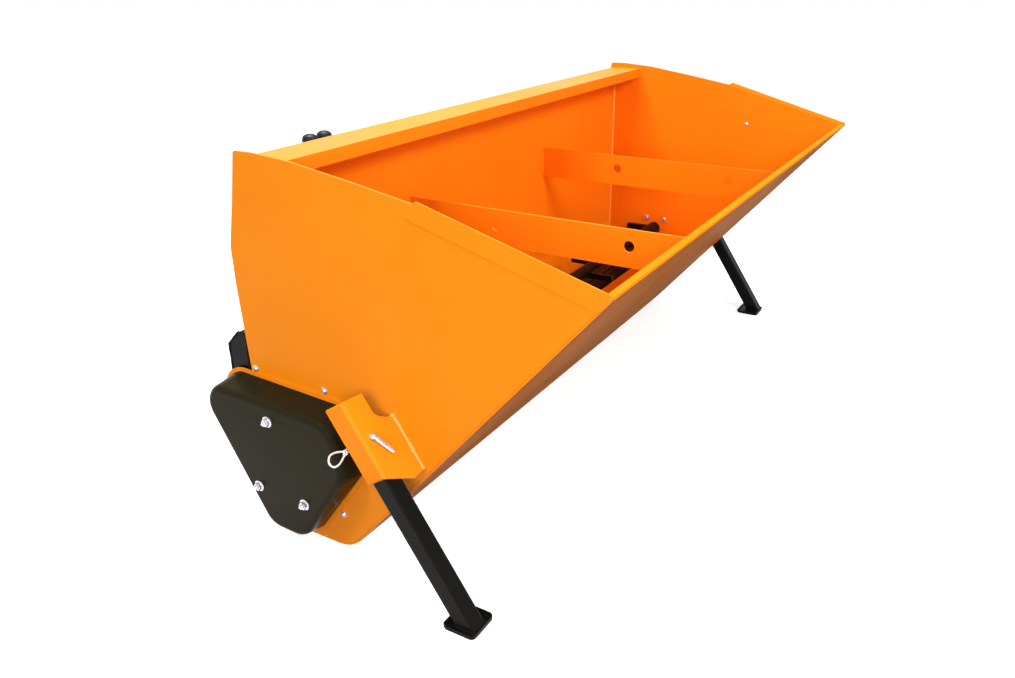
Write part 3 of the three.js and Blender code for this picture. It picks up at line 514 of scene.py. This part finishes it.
def tube_along(name, points, radius, finish):
    """A round tube on one open spline."""
    curve = bpy.data.curves.new(name, "CURVE")
    curve.dimensions = "3D"
    curve.bevel_depth = radius
    curve.bevel_resolution = 6
    curve.use_fill_caps = True
    spline = curve.splines.new("POLY")
    spline.points.add(len(points) - 1)
    for made, point in zip(spline.points, points):
        made.co = (*point, 1)
    spline.use_smooth = True
    curve.materials.append(finish)
    tube = bpy.data.objects.new(name, curve)
    bpy.context.scene.collection.objects.link(tube)
    return tube


def fitting(name, end, run, length):
    """Fitting on a hose end: a hexagon, a neck and a sleeve with its crimped rings."""
    shape = Shape()
    neck = length * hexagon_share
    hexagon = [
        (0, 0),
        (0, fitting_hexagon),
        (neck - fitting_chamfer, fitting_hexagon),
        (neck, fitting_hexagon - fitting_chamfer),
        (neck, 0),
    ]
    shape.lathe(hexagon, end, run, sides=6)
    ring = (length - neck) / crimp_count
    rows = [(neck, 0), (neck, fitting_neck)]
    for k in range(crimp_count):
        rows += [(neck + k * ring + share * ring, radius) for share, radius in crimp_rows]
    shape.lathe(rows + [(length, fitting_mouth), (length, 0)], end, run)
    return shape.piece(name, "frame", "zinc")


def hose(name, port, coupler, rise):
    """One hose with its two fittings, as a tube on a spline."""
    rear = port_rear + hose_lead + hose_bend
    port_face = at(port, port_rear + gap, port_height)
    coupler_face = at(coupler, coupler_rear, coupler_foot - gap)
    corners = [
        port_face,
        at(port, rear, port_height),
        at(coupler, rear, port_height + rise),
        at(coupler, coupler_rear, coupler_foot - hose_drop),
        coupler_face,
    ]
    route = arced(corners, hose_bend * mm)
    tube = tube_along(name, route, hose_radius * mm, rubber)
    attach(tube, "frame")
    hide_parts(f"hydraulic_{name}")
    fittings = [
        fitting(f"{name}_port_fitting", port_face, (0, 1, 0), port_fitting_length),
        fitting(f"{name}_coupler_fitting", coupler_face, (0, 0, -1), coupler_fitting_length),
    ]


for number, (port, coupler, rise) in enumerate(zip(port_spots, coupler_spots, hose_rises), start=1):
    hose(f"hose_{number}", port, coupler, rise)

# Fasteners: spots are y and z, and a hexagon's size is its radius to the corners.
thread_depth = 0.4
thread_crest, thread_root = 0.25, 0.75
stud_chamfer = 0.8
nut_foot, nut_top = 1.7, 8.3
head_foot, head_top = 1.5, 6.8
dish_rim, dish_floor, dish_depth = 4.2, 3.8, 0.3
stud_root = nut_top - 0.5
# Chamfers: height along the axis and depth across it.
nut_washer_edge = (0.5, 0.6)
nut_lower_edge = (0.8, 0.7)
nut_upper_edge = (1.2, 1.1)
head_washer_edge = (0.4, 0.5)
head_lower_edge = (0.5, 0.3)
head_upper_edge = (1.0, 1.0)


def threaded(start, end, radius):
    """Rows of a stud's thread, one turn to a millimetre, with a chamfered end."""
    rows = [(start, 0), (start, radius)]
    for k in range(round(end - start - 1)):
        rows += [(start + k + thread_crest, radius), (start + k + thread_root, radius - thread_depth)]
    return rows + [(end - stud_chamfer, radius), (end, radius - stud_chamfer), (end, 0)]


def washer_rows(radius, top, edge):
    """Rows of a washer with its chamfered upper edge."""
    return [(0, 0), (0, radius), (top - edge[0], radius), (top, radius - edge[1]), (top, 0)]


def hexagon_rows(foot, top, corner, lower, upper):
    """Rows of a hexagon's sides with both chamfers."""
    return [
        (foot, 0),
        (foot, corner - lower[1]),
        (foot + lower[0], corner),
        (top - upper[0], corner),
        (top, corner - upper[1]),
    ]


def nut_and_washer(shape, face, axis, washer, corner, stud_end, stud_radius=4.5):
    """A hexagon nut on a washer, with the stud's end through it."""
    hexagon = hexagon_rows(nut_foot, nut_top, corner, nut_lower_edge, nut_upper_edge)
    shape.lathe(washer_rows(washer, nut_foot, nut_washer_edge), face, axis)
    shape.lathe(hexagon + [(nut_top, 0)], face, axis, sides=6)
    shape.lathe(threaded(stud_root, stud_end, stud_radius), face, axis)


def bolt_head(shape, face, axis, corner=7.2, washer=8.6):
    """A hexagon head with a dished top, on a washer."""
    hexagon = hexagon_rows(head_foot, head_top, corner, head_lower_edge, head_upper_edge)
    dish = [(head_top, dish_rim), (head_top - dish_depth, dish_floor), (head_top - dish_depth, 0)]
    shape.lathe(washer_rows(washer, head_foot, head_washer_edge), face, axis)
    shape.lathe(hexagon + dish, face, axis, sides=6)


cover_face = -866
cover_nut_spots = ((-66.2, 289.4), (-18.6, 131.1), (-138.5, 127.1))
case_screw_spots = ((-158.2, 350), (19.8, 354.1), (-174.6, 77.8))
# Collar, dome, rim of the socket and its floor.
case_screw_profile = (
    (0, 0),
    (0, 7.2),
    (0.8, 7.2),
    (1.2, 5.9),
    (2.4, 5.7),
    (3.6, 4.8),
    (4.6, 3.4),
    (4.7, 2.7),
    (2.2, 2.5),
    (2.1, 0),
)
rivet_spot = (-454, 623)
rivet_profile = ((0, 0), (0, 6), (0.8, 5.7), (2.2, 3.6), (2.8, 0))
agitator_spot = (-179, 260)
roller_spot = (-95, 82)
motor_spot = (52, 287)
bearing_spread = 31
roller_spread = 27
bearing_face = 812.6
motor_face = -783.7


def cover_nut(number, spot):
    shape = Shape()
    face = at(cover_face, *spot)
    nut_and_washer(shape, face, to_near, washer=11.5, corner=8.6, stud_end=13, stud_radius=4.2)
    shape.piece(f"cover_nut_{number}_detail", "frame", "zinc", f"cover_nut_{number}")


def case_screw(number, spot):
    """A button head with a collar and a socket."""
    shape = Shape()
    shape.lathe(case_screw_profile, at(-half - gap, *spot), to_near)
    shape.piece(f"case_screw_{number}_detail", "frame", "zinc", f"case_screw_{number}")


def square_of(spot, spread):
    return [(spot[0] + i * spread, spot[1] + j * spread) for i in (-1, 1) for j in (-1, 1)]


def bearing_bolt_heads():
    """The agitator bearings' bolt heads inside the hopper."""
    shape = Shape()
    for _, side in ends:
        for spot in square_of(agitator_spot, bearing_spread):
            bolt_head(shape, at(side * inner_face, *spot), (-side, 0, 0))
    shape.piece("bearing_bolt_heads", "frame", "zinc")


def bearing_nuts():
    """The nuts on the far bearings."""
    shape = Shape()
    for spot in square_of(agitator_spot, bearing_spread) + square_of(roller_spot, roller_spread):
        nut_and_washer(shape, at(bearing_face, *spot), to_far, washer=8.6, corner=7.2, stud_end=12)
    shape.piece("bearing_nuts", "frame", "zinc")


def motor_bolts():
    shape = Shape()
    for spot in square_of(motor_spot, bearing_spread):
        bolt_head(shape, at(motor_face, *spot), to_far, corner=6.4, washer=7.2)
    shape.piece("motor_bolts", "frame", "zinc")


def far_plate_rivet():
    shape = Shape()
    shape.lathe(rivet_profile, at(inner_face, *rivet_spot), to_near, sides=24)
    shape.piece("far_plate_rivet", "frame", "zinc")


for number, spot in enumerate(cover_nut_spots, start=1):
    cover_nut(number, spot)
for number, spot in enumerate(case_screw_spots, start=1):
    case_screw(number, spot)
bearing_bolt_heads()
bearing_nuts()
motor_bolts()
far_plate_rivet()

# Legs: places outwards from the plate, down along the leg and up out of the bracket's face.
leg_lean = math.radians(34)
bracket_reach = 320
bracket_height = 344
flange_depth = 45
pin_out = 70
pin_down = 10.6
pin_radius = 5
pin_sides = 20
pin_step = 6
tip_length = 2
tip_chamfer = 1.2
bend_start = -2
handle_radius = 4.6
handle_bend = 4.6
handle_run = (-23, 44)
handle_step = 3
handle_chamfer = 1
handle_swelling = 2.6
swelling_step = 0.6
wire_radius = 1.75
wire_sides = 12
clip_level = -flange_depth - pin_radius
coil_radius = 3.6
coil_from_pin = (27, 3.4)
coil_points_per_turn = 16
coil_points = 20


def leg_frame(side):
    """A function that makes points from a leg's own places."""
    outwards = Vector((side, 0, 0))
    down = Vector((0, -math.sin(leg_lean), -math.cos(leg_lean)))
    up = Vector((0, -math.cos(leg_lean), math.sin(leg_lean)))
    origin = at(side * half, -bracket_reach, bracket_height)
    return lambda out, along, rise: origin + (outwards * out + down * along + up * rise) * mm


def leg_pin(end, side):
    """A bent pin: its thin handle lies on the bracket and swells where it turns into the shank."""
    place = leg_frame(side)
    handle_height = handle_radius + gap
    tip = clip_level - pin_radius - wire_radius
    corner = place(pin_out, pin_down, handle_height)
    handle_end = place(pin_out + handle_run[0], pin_down + handle_run[1], handle_height)
    bend = arced([place(pin_out, pin_down, bend_start), corner, handle_end], handle_bend * mm, steps=6)
    tip_ends = [place(pin_out, pin_down, rise) for rise in (tip, tip + tip_length)]
    shank = spaced(tip_ends + [bend[0]], pin_step * mm)
    handle = spaced(bend[-2:], handle_step * mm)
    path = shank[:-1] + bend[:-2] + handle
    radii = [pin_radius * mm] * len(path)
    radii[0] = (pin_radius - tip_chamfer) * mm
    bend_middle = len(shank) - 1 + len(bend) // 2
    for k in range(bend_middle, len(path)):
        radii[k] = (handle_radius + max(0, handle_swelling - (k - bend_middle) * swelling_step)) * mm
    radii[-1] = (handle_radius - handle_chamfer) * mm
    shape = Shape()
    shape.sweep(path, radii, pin_sides)
    shape.piece(f"{end}_pin_detail", f"{end}_pin", "zinc", f"{end}_leg_pin", sharp=50)


def clip_coil(end, side):
    """The small turn of wire where the clip springs open."""
    place = leg_frame(side)
    out, along = pin_out + coil_from_pin[0], pin_down + coil_from_pin[1]
    lift = 2 * wire_radius
    ring = []
    for k in range(coil_points + 1):
        angle = 2 * math.pi * k / coil_points_per_turn
        across, down = coil_radius * math.cos(angle), coil_radius * math.sin(angle)
        ring.append(place(out + across, along + down, clip_level + lift * k / coil_points))
    shape = Shape()
    shape.sweep(ring, [wire_radius * mm] * len(ring), wire_sides)
    shape.piece(f"{end}_clip_coil", f"{end}_clip", "zinc", finish=bright_wire, sharp=60)


# Bracket welds: how far out they are, how far up, and the ends of their runs.
outer_weld_out, outer_weld_rise, outer_weld_run = 1.8, 0.8, (-1, 113)
inner_weld_out, inner_weld_rise, inner_weld_run = 1.4, -4.6, (2, 112)
tack_out, tack_rise, tack_spots = 2.4, 1.0, (1, 74)
tack_profile = ((-4.5, 0), (-3.4, 4.2), (-0.8, 5.6), (1.6, 5.0), (3.4, 3.0), (4.2, 0))


def bracket_welds(end, side):
    """The beads where the bracket meets the end plate: outside with two tacks, and inside."""
    place = leg_frame(side)
    shape = Shape()
    outer = [place(outer_weld_out, along, outer_weld_rise) for along in outer_weld_run]
    bead(shape, outer, radius=3.6, ripple=4.5)
    for along in tack_spots:
        shape.lathe(tack_profile, place(tack_out, along, tack_rise), (0, 0, 1), sides=16)
    inner = [place(inner_weld_out, along, inner_weld_rise) for along in inner_weld_run]
    bead(shape, inner, radius=2.4)
    # The beads take the paler orange, a painted highlight.
    shape.piece(f"{end}_bracket_weld", "frame", "orange_paint", finish=bead_orange_painted_highlight, sharp=bead_sharp)


foot_top = 8
foot_weld_height = 0.8
leg_inner = 52.5
leg_outer = 87.5
leg_front = -541.4
leg_depth = 42.2


def foot_welds(end, side):
    """The bead round the leg where it stands on its foot."""
    shape = Shape()
    x0, x1 = side * (half + leg_inner), side * (half + leg_outer)
    y0, y1 = leg_front, leg_front + leg_depth
    corners = [(x1, y1), (x1, y0), (x0, y0), (x0, y1), (x1, y1)]
    bead(shape, [at(x, y, foot_top + foot_weld_height) for x, y in corners], radius=2.2)
    shape.piece(f"{end}_foot_weld", "frame", "black_paint", sharp=bead_sharp)


for end, side in ends:
    leg_pin(end, side)
    clip_coil(end, side)
    bracket_welds(end, side)
    foot_welds(end, side)

# Sheet joints
toe = (-205, 18)
lip = (-737, 640)
sheet = 3
wall_face = -12
wall_top = 740
wall_bend = 250
front_weld_ends = (190, lip[1] - 6)
brace_at = 317
brace_weld_offset = 2.8
brace_heights = (517, 593)
brace_weld_inset = 0.8
weld_inset = 1
front_slope = (lip[0] - toe[0]) / (lip[1] - toe[1])
front_share = math.hypot(front_slope, 1)
seam_inset = 4.5
seam_sink = 0.1
seam_start = -110
seam_top = lip[1] - 8
seam_bend = 90
seam_radius = 1.5
seam_step = 12
beam_outline = ((43, 331), (43, 421), (62, 421), (93, 390), (93, 331), (43, 331))


def front_y(height, into):
    """How far back the front plate is at a height, a distance in from its outer face."""
    return toe[0] + (height - toe[1]) * front_slope + into * front_share


def plate_seam(end, side):
    """The turned edge of the front sheet, seen as a fine line along the foot of the end plate."""
    x = side * (half - seam_sink)
    corners = [
        at(x, seam_start, seam_inset),
        at(x, front_y(seam_inset, seam_inset), seam_inset),
        at(x, front_y(seam_top, seam_inset), seam_top),
    ]
    path = spaced(arced(corners, seam_bend * mm, steps=12), seam_step * mm)
    shape = Shape()
    shape.sweep(path, [seam_radius * mm] * len(path), bead_sides)
    shape.piece(f"{end}_plate_seam", "frame", "orange_paint", sharp=bead_sharp)


def upright_bead(shape, x, inset, heights, radius, ripple=fine_ripple):
    """A bead up the back wall's face."""
    bead(shape, [at(x, wall_face - inset, height) for height in heights], radius, ripple)


def sloping_bead(shape, x, inset, heights, radius, ripple=fine_ripple):
    """A bead up the front plate's inner face."""
    bead(shape, [at(x, front_y(height, sheet + inset), height) for height in heights], radius, ripple)


def hopper_welds(end, side):
    """Fillet welds in the hopper's corners."""
    x = side * (inner_face - weld_inset)
    shape = Shape()
    upright_bead(shape, x, weld_inset, (wall_bend, wall_top), radius=3.0, ripple=coarse_ripple)
    sloping_bead(shape, x, weld_inset, front_weld_ends, radius=2.2, ripple=coarse_ripple)
    # The beads take the paler orange, a painted highlight.
    shape.piece(f"{end}_hopper_weld", "frame", "orange_paint", finish=bead_orange_painted_highlight, sharp=bead_sharp)


def brace_welds(end, side):
    """Short beads at both ends of a brace."""
    shape = Shape()
    for face in (-brace_weld_offset, brace_weld_offset):
        x = side * brace_at + face
        upright_bead(shape, x, brace_weld_inset, brace_heights, radius=2.0)
        sloping_bead(shape, x, brace_weld_inset, brace_heights, radius=2.0)
    shape.piece(f"{end}_brace_weld", "frame", "orange_paint", sharp=bead_sharp)


def beam_welds(end, side):
    """The bead round the beam where it meets the end plate's ear."""
    shape = Shape()
    bead(shape, [at(side * (inner_face - weld_inset), y, z) for y, z in beam_outline], radius=2.6)
    shape.piece(f"{end}_beam_weld", "frame", "black_paint", sharp=bead_sharp)


for end, side in ends:
    plate_seam(end, side)
    hopper_welds(end, side)
    brace_welds(end, side)
    beam_welds(end, side)

# Agitator
tine_count = 16
tine_pitch = 104
tine_half = 8
tube_radius = 21
tine_weld_sink = 1.5


def tine_welds():
    """A bead round the root of each tine; the tines point forwards and back in turn."""
    shape = Shape()
    first = (tine_count - 1) / 2 * tine_pitch
    corners = [(1, 1), (1, -1), (-1, -1), (-1, 1), (1, 1)]
    for k in range(tine_count):
        x = first - k * tine_pitch
        y = agitator_spot[0] + (-1 if k % 2 else 1) * (tube_radius - tine_weld_sink)
        z = agitator_spot[1]
        bead(shape, [at(x + i * tine_half, y, z + j * tine_half) for i, j in corners], radius=2.4)
    shape.piece("tine_welds", "agitator_shaft", "black_paint", sharp=bead_sharp)


tine_welds()

# Floor, backdrop and light
floor_reach = 14.0
floor_white = rgb(0.90, 0.90, 0.90)
floor_dim = rgb(0.05, 0.05, 0.05)
floor_glow = 0.56
white = rgb(1, 1, 1)
sky_light = 0.52
sky_seen = 1.0


def background_rays(tree_nodes, tree_links):
    """1 for the rays that show the background: from the camera, off metal and through glass."""
    rays = tree_nodes.new("ShaderNodeLightPath").outputs
    seen = rays["Is Camera Ray"]
    for kind in ("Is Glossy Ray", "Is Transmission Ray"):
        either = tree_nodes.new("ShaderNodeMath")
        either.operation = "MAXIMUM"
        tree_links.new(seen, either.inputs[0])
        tree_links.new(rays[kind], either.inputs[1])
        seen = either.outputs[0]
    return seen


def white_floor():
    """A floor that shows as white with a soft shadow, and throws little light back at the object."""
    tree = Tree("floor_white")
    matt = tree.add("ShaderNodeBsdfDiffuse")
    matt.inputs["Color"].default_value = floor_white
    dim = tree.add("ShaderNodeBsdfDiffuse")
    dim.inputs["Color"].default_value = floor_dim
    glow = tree.add("ShaderNodeEmission")
    glow.inputs["Color"].default_value = white
    glow.inputs["Strength"].default_value = floor_glow
    lit = tree.add("ShaderNodeAddShader")
    tree.join(matt.outputs[0], lit.inputs[0])
    tree.join(glow.outputs[0], lit.inputs[1])
    mixed = tree.add("ShaderNodeMixShader")
    tree.join(background_rays(tree.nodes, tree.links), mixed.inputs[0])
    tree.join(dim.outputs[0], mixed.inputs[1])
    tree.join(lit.outputs[0], mixed.inputs[2])
    output = tree.add("ShaderNodeOutputMaterial")
    tree.join(mixed.outputs[0], output.inputs["Surface"])
    return tree.material


def lay_floor():
    mesh = bpy.data.meshes.new("floor")
    corners = [(x * floor_reach, y * floor_reach, 0) for x, y in ((-1, -1), (1, -1), (1, 1), (-1, 1))]
    mesh.from_pydata(corners, [], [(0, 1, 2, 3)])
    mesh.materials.append(white_floor())
    floor = bpy.data.objects.new("floor", mesh)
    bpy.context.scene.collection.objects.link(floor)


def white_sky():
    """A plain white world that lights the object less than it shows."""
    world = bpy.data.worlds.new("studio")
    world.use_nodes = True
    tree_nodes, tree_links = world.node_tree.nodes, world.node_tree.links
    sky = tree_nodes["Background"]
    sky.inputs["Color"].default_value = white
    level = tree_nodes.new("ShaderNodeMapRange")
    level.inputs["To Min"].default_value = sky_light
    level.inputs["To Max"].default_value = sky_seen
    tree_links.new(background_rays(tree_nodes, tree_links), level.inputs["Value"])
    tree_links.new(level.outputs["Result"], sky.inputs["Strength"])
    bpy.context.scene.world = world


def softbox(name, spot, target, width, height, power):
    data = bpy.data.lights.new(name, "AREA")
    data.shape = "RECTANGLE"
    data.size = width
    data.size_y = height
    data.energy = power
    lamp = bpy.data.objects.new(name, data)
    lamp.location = spot
    lamp.rotation_euler = (Vector(target) - Vector(spot)).to_track_quat("-Z", "Y").to_euler()
    bpy.context.scene.collection.objects.link(lamp)


lay_floor()
white_sky()
softbox("front", spot=(-0.9, -3.4, 3.0), target=(0, 0, 0.5), width=1.4, height=1.0, power=88)
softbox("side", spot=(-2.9, -1.0, 1.15), target=(-0.8, -0.1, 0.4), width=1.2, height=0.8, power=37)
softbox("rim", spot=(-2.7, 0.15, 3.1), target=(-0.8, 0.1, 0.4), width=0.45, height=0.45, power=32)
softbox("spark", spot=(-2.4, -1.5, 1.5), target=(-0.85, 0.1, 0.4), width=0.35, height=0.35, power=7)
softbox("top", spot=(0.0, 1.0, 3.3), target=(0, 0, 0.4), width=1.6, height=0.8, power=118)
bpy.context.scene.view_settings.view_transform = "Standard"
